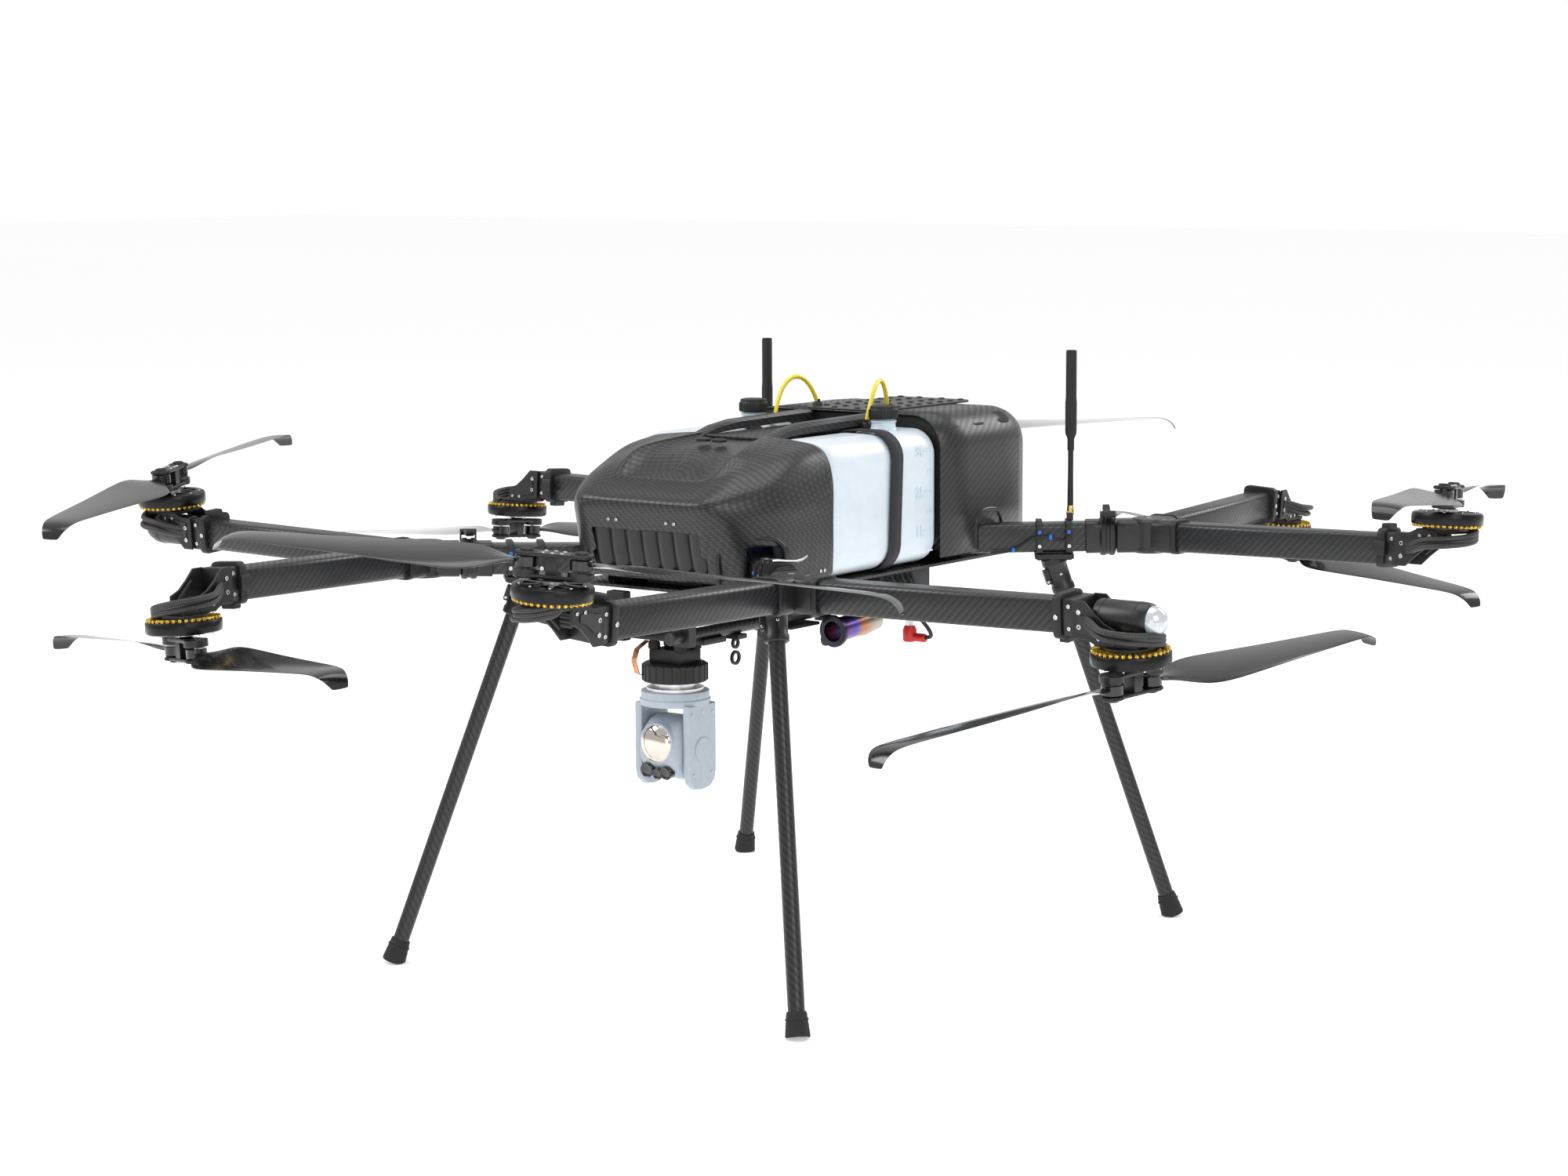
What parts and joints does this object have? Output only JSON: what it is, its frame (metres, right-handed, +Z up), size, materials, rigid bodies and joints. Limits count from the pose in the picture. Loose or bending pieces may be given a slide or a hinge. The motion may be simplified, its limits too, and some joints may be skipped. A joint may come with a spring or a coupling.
{
  "type": "hybrid octocopter drone",
  "caption": "Large hybrid fuel-electric multirotor with paired arms on slide-in forks, folding blades, side fuel tanks, splayed legs and a camera turret.",
  "frame": {"origin": "on the ground, midway between the four feet", "axes": "+Z up, -Y to the nose, +X to the aircraft's left"},
  "size_m": [1.7158, 1.8732, 0.7435],
  "materials": {
    "carbon_skin": "satin twill carbon laminate",
    "carbon_tube": "matte twill carbon tube",
    "gloss_carbon": "polished carbon",
    "motor_black": "black anodised",
    "black_plastic": "moulded, fine grain",
    "tank_plastic": "translucent milky plastic",
    "webbing": "woven nylon",
    "steel": "brushed",
    "cast_aluminium": "cast, matte",
    "exhaust_steel": "heat tinted",
    "battery_wrap": "shrink wrap",
    "yellow_hose": "translucent rubber",
    "black_rubber": "matte",
    "gimbal_grey": "light blue-grey satin paint"
  },
  "bodies": {
    "airframe": {"nose_fairing": "carbon_skin", "nose_louvre_panel": "black_plastic", "rear_fairing": "carbon_skin", "fuel_tanks": "tank_plastic", "tank_straps": "webbing", "belly_plate": "carbon_tube", "top_deck": "carbon_skin", "payload_rails": "carbon_tube", "engine": "cast_aluminium", "generator": "motor_black", "exhaust_pipe": "exhaust_steel", "avionics_box": "black_plastic", "battery_pack": "battery_wrap", "vent_hose_left": "yellow_hose", "vent_hose_right": "yellow_hose", "booms": "carbon_tube", "leg_brackets": "carbon_tube", "antennas": "black_rubber", "antenna_cable": "black_rubber", "gimbal_mount": "motor_black"},
    "fork_front_left": {"fork_front_left": "carbon_tube"},
    "fork_front_right": {"fork_front_right": "carbon_tube"},
    "fork_rear_left": {"fork_rear_left": "carbon_tube"},
    "fork_rear_right": {"fork_rear_right": "carbon_tube"},
    "cam_lever_front_left": {"cam_lever_front_left": "steel"},
    "cam_lever_front_right": {"cam_lever_front_right": "steel"},
    "cam_lever_rear_left": {"cam_lever_rear_left": "steel"},
    "cam_lever_rear_right": {"cam_lever_rear_right": "steel"},
    "gimbal_turret": {"gimbal_turret": "gimbal_grey"},
    "gimbal_camera": {"gimbal_camera": "gimbal_grey"},
    "leg_front_left": {"leg_front_left": "carbon_tube"},
    "leg_front_right": {"leg_front_right": "carbon_tube"},
    "leg_rear_left": {"leg_rear_left": "carbon_tube"},
    "leg_rear_right": {"leg_rear_right": "carbon_tube"},
    "tank_cap_left": {"tank_cap_left": "black_plastic"},
    "tank_cap_right": {"tank_cap_right": "black_plastic"},
    "rotor_4": {"rotor_4": "motor_black"},
    "blade_4_a": {"blade_4_a": "gloss_carbon"},
    "blade_4_b": {"blade_4_b": "gloss_carbon"},
    "rotor_5": {"rotor_5": "motor_black"},
    "blade_5_a": {"blade_5_a": "gloss_carbon"},
    "blade_5_b": {"blade_5_b": "gloss_carbon"},
    "rotor_2": {"rotor_2": "motor_black"},
    "blade_2_a": {"blade_2_a": "gloss_carbon"},
    "blade_2_b": {"blade_2_b": "gloss_carbon"},
    "rotor_1": {"rotor_1": "motor_black"},
    "blade_1_a": {"blade_1_a": "gloss_carbon"},
    "blade_1_b": {"blade_1_b": "gloss_carbon"},
    "rotor_6": {"rotor_6": "motor_black"},
    "blade_6_a": {"blade_6_a": "gloss_carbon"},
    "blade_6_b": {"blade_6_b": "gloss_carbon"},
    "rotor_7": {"rotor_7": "motor_black"},
    "blade_7_a": {"blade_7_a": "gloss_carbon"},
    "blade_7_b": {"blade_7_b": "gloss_carbon"},
    "rotor_3": {"rotor_3": "motor_black"},
    "blade_3_a": {"blade_3_a": "gloss_carbon"},
    "blade_3_b": {"blade_3_b": "gloss_carbon"},
    "rotor_8": {"rotor_8": "motor_black"},
    "blade_8_a": {"blade_8_a": "gloss_carbon"},
    "blade_8_b": {"blade_8_b": "gloss_carbon"}
  },
  "joints": [
    {"name": "fork_front_left_slide", "type": "slide", "parent": "airframe", "child": "fork_front_left", "axis": [0.707, -0.707, 0.0204], "range_m": [0, 0.045]},
    {"name": "fork_front_right_slide", "type": "slide", "parent": "airframe", "child": "fork_front_right", "axis": [-0.707, -0.707, 0.0204], "range_m": [0, 0.045]},
    {"name": "fork_rear_left_slide", "type": "slide", "parent": "airframe", "child": "fork_rear_left", "axis": [0.8333, 0.5524, 0.0194], "range_m": [0, 0.045]},
    {"name": "fork_rear_right_slide", "type": "slide", "parent": "airframe", "child": "fork_rear_right", "axis": [-0.8333, 0.5524, 0.0194], "range_m": [0, 0.045]},
    {"name": "cam_lever_front_left_hinge", "type": "hinge", "parent": "airframe", "child": "cam_lever_front_left", "pos_m": [0.22524, -0.33253, 0.53439], "axis": [0.707, -0.707, 0.0204], "range_deg": [0, 110]},
    {"name": "cam_lever_front_right_hinge", "type": "hinge", "parent": "airframe", "child": "cam_lever_front_right", "pos_m": [-0.25353, -0.30424, 0.53439], "axis": [-0.707, -0.707, 0.0204], "range_deg": [0, 110]},
    {"name": "cam_lever_rear_left_hinge", "type": "hinge", "parent": "airframe", "child": "cam_lever_rear_left", "pos_m": [0.29356, 0.31317, 0.53445], "axis": [0.8333, 0.5524, 0.0194], "range_deg": [0, 110]},
    {"name": "cam_lever_rear_right_hinge", "type": "hinge", "parent": "airframe", "child": "cam_lever_rear_right", "pos_m": [-0.27146, 0.34651, 0.53445], "axis": [-0.8333, 0.5524, 0.0194], "range_deg": [0, 110]},
    {"name": "gimbal_pan", "type": "hinge", "parent": "airframe", "child": "gimbal_turret", "pos_m": [0, -0.216, 0.36], "axis": [0, 0, 1], "continuous": true},
    {"name": "gimbal_tilt", "type": "hinge", "parent": "gimbal_turret", "child": "gimbal_camera", "pos_m": [0, -0.216, 0.28], "axis": [1, 0, 0], "range_deg": [-30, 90]},
    {"name": "leg_front_left_slide", "type": "slide", "parent": "airframe", "child": "leg_front_left", "axis": [0.238, -0.242, -0.9406], "range_m": [0, 0.06]},
    {"name": "leg_front_right_slide", "type": "slide", "parent": "airframe", "child": "leg_front_right", "axis": [-0.238, -0.242, -0.9406], "range_m": [0, 0.06]},
    {"name": "leg_rear_left_slide", "type": "slide", "parent": "airframe", "child": "leg_rear_left", "axis": [0.2527, 0.1996, -0.9467], "range_m": [0, 0.06]},
    {"name": "leg_rear_right_slide", "type": "slide", "parent": "airframe", "child": "leg_rear_right", "axis": [-0.2527, 0.1996, -0.9467], "range_m": [0, 0.06]},
    {"name": "tank_cap_left_turn", "type": "hinge", "parent": "airframe", "child": "tank_cap_left", "pos_m": [0.102, 0.083, 0.67], "axis": [0, 0, 1], "range_deg": [0, 360]},
    {"name": "tank_cap_right_turn", "type": "hinge", "parent": "airframe", "child": "tank_cap_right", "pos_m": [-0.102, 0.083, 0.67], "axis": [0, 0, 1], "range_deg": [0, 360]},
    {"name": "rotor_4_spin", "type": "hinge", "parent": "fork_front_left", "child": "rotor_4", "pos_m": [0.27479, -0.77004, 0.5519], "axis": [0.0697, -0.001, 0.9976], "continuous": true},
    {"name": "rotor_5_spin", "type": "hinge", "parent": "fork_front_left", "child": "rotor_5", "pos_m": [0.72304, -0.36021, 0.4721], "axis": [0.0009, 0.0698, -0.9976], "continuous": true},
    {"name": "rotor_2_spin", "type": "hinge", "parent": "fork_front_right", "child": "rotor_2", "pos_m": [-0.26921, -0.76996, 0.4721], "axis": [0.0697, 0.001, -0.9976], "continuous": true},
    {"name": "rotor_1_spin", "type": "hinge", "parent": "fork_front_right", "child": "rotor_1", "pos_m": [-0.72304, -0.35279, 0.5519], "axis": [-0.0011, -0.0697, 0.9976], "continuous": true},
    {"name": "rotor_6_spin", "type": "hinge", "parent": "fork_rear_left", "child": "rotor_6", "pos_m": [0.743, 0.36279, 0.5519], "axis": [0, 0.0698, 0.9976], "continuous": true},
    {"name": "rotor_7_spin", "type": "hinge", "parent": "fork_rear_left", "child": "rotor_7", "pos_m": [0.29222, 0.78478, 0.4721], "axis": [-0.0695, -0.0054, -0.9976], "continuous": true},
    {"name": "rotor_3_spin", "type": "hinge", "parent": "fork_rear_right", "child": "rotor_3", "pos_m": [-0.743, 0.35721, 0.4721], "axis": [0, -0.0698, -0.9976], "continuous": true},
    {"name": "rotor_8_spin", "type": "hinge", "parent": "fork_rear_right", "child": "rotor_8", "pos_m": [-0.29778, 0.78522, 0.5519], "axis": [-0.0695, 0.0054, 0.9976], "continuous": true},
    {"name": "blade_4_a_fold", "type": "hinge", "parent": "rotor_4", "child": "blade_4_a", "pos_m": [0.25013, -0.78205, 0.58419], "axis": [0.0697, -0.001, 0.9976], "range_deg": [-85, 85]},
    {"name": "blade_4_b_fold", "type": "hinge", "parent": "rotor_4", "child": "blade_4_b", "pos_m": [0.3037, -0.75809, 0.58047], "axis": [0.0697, -0.001, 0.9976], "range_deg": [-85, 85]},
    {"name": "blade_5_a_fold", "type": "hinge", "parent": "rotor_5", "child": "blade_5_a", "pos_m": [0.71644, -0.38666, 0.43967], "axis": [-0.0009, -0.0698, 0.9976], "range_deg": [-85, 85]},
    {"name": "blade_5_b_fold", "type": "hinge", "parent": "rotor_5", "child": "blade_5_b", "pos_m": [0.72969, -0.32951, 0.44368], "axis": [-0.0009, -0.0698, 0.9976], "range_deg": [-85, 85]},
    {"name": "blade_2_a_fold", "type": "hinge", "parent": "rotor_2", "child": "blade_2_a", "pos_m": [-0.29463, -0.75985, 0.43976], "axis": [-0.0697, -0.001, 0.9976], "range_deg": [-85, 85]},
    {"name": "blade_2_b_fold", "type": "hinge", "parent": "rotor_2", "child": "blade_2_b", "pos_m": [-0.23953, -0.78001, 0.44359], "axis": [-0.0697, -0.001, 0.9976], "range_deg": [-85, 85]},
    {"name": "blade_1_a_fold", "type": "hinge", "parent": "rotor_1", "child": "blade_1_a", "pos_m": [-0.71109, -0.3817, 0.58047], "axis": [-0.0011, -0.0697, 0.9976], "range_deg": [-85, 85]},
    {"name": "blade_1_b_fold", "type": "hinge", "parent": "rotor_1", "child": "blade_1_b", "pos_m": [-0.73506, -0.32814, 0.58419], "axis": [-0.0011, -0.0697, 0.9976], "range_deg": [-85, 85]},
    {"name": "blade_6_a_fold", "type": "hinge", "parent": "rotor_6", "child": "blade_6_a", "pos_m": [0.75013, 0.33647, 0.58432], "axis": [0, 0.0698, 0.9976], "range_deg": [-85, 85]},
    {"name": "blade_6_b_fold", "type": "hinge", "parent": "rotor_6", "child": "blade_6_b", "pos_m": [0.73587, 0.39337, 0.58034], "axis": [0, 0.0698, 0.9976], "range_deg": [-85, 85]},
    {"name": "blade_7_a_fold", "type": "hinge", "parent": "rotor_7", "child": "blade_7_a", "pos_m": [0.31798, 0.7755, 0.43978], "axis": [0.0695, 0.0054, 0.9976], "range_deg": [-85, 85]},
    {"name": "blade_7_b_fold", "type": "hinge", "parent": "rotor_7", "child": "blade_7_b", "pos_m": [0.26221, 0.79373, 0.44357], "axis": [0.0695, 0.0054, 0.9976], "range_deg": [-85, 85]},
    {"name": "blade_3_a_fold", "type": "hinge", "parent": "rotor_3", "child": "blade_3_a", "pos_m": [-0.74862, 0.3263, 0.44368], "axis": [0, 0.0698, 0.9976], "range_deg": [-85, 85]},
    {"name": "blade_3_b_fold", "type": "hinge", "parent": "rotor_3", "child": "blade_3_b", "pos_m": [-0.73738, 0.38387, 0.43966], "axis": [0, 0.0698, 0.9976], "range_deg": [-85, 85]},
    {"name": "blade_8_a_fold", "type": "hinge", "parent": "rotor_8", "child": "blade_8_a", "pos_m": [-0.27292, 0.7969, 0.58415], "axis": [-0.0695, 0.0054, 0.9976], "range_deg": [-85, 85]},
    {"name": "blade_8_b_fold", "type": "hinge", "parent": "rotor_8", "child": "blade_8_b", "pos_m": [-0.32689, 0.77386, 0.58051], "axis": [-0.0695, 0.0054, 0.9976], "range_deg": [-85, 85]}
  ]
}
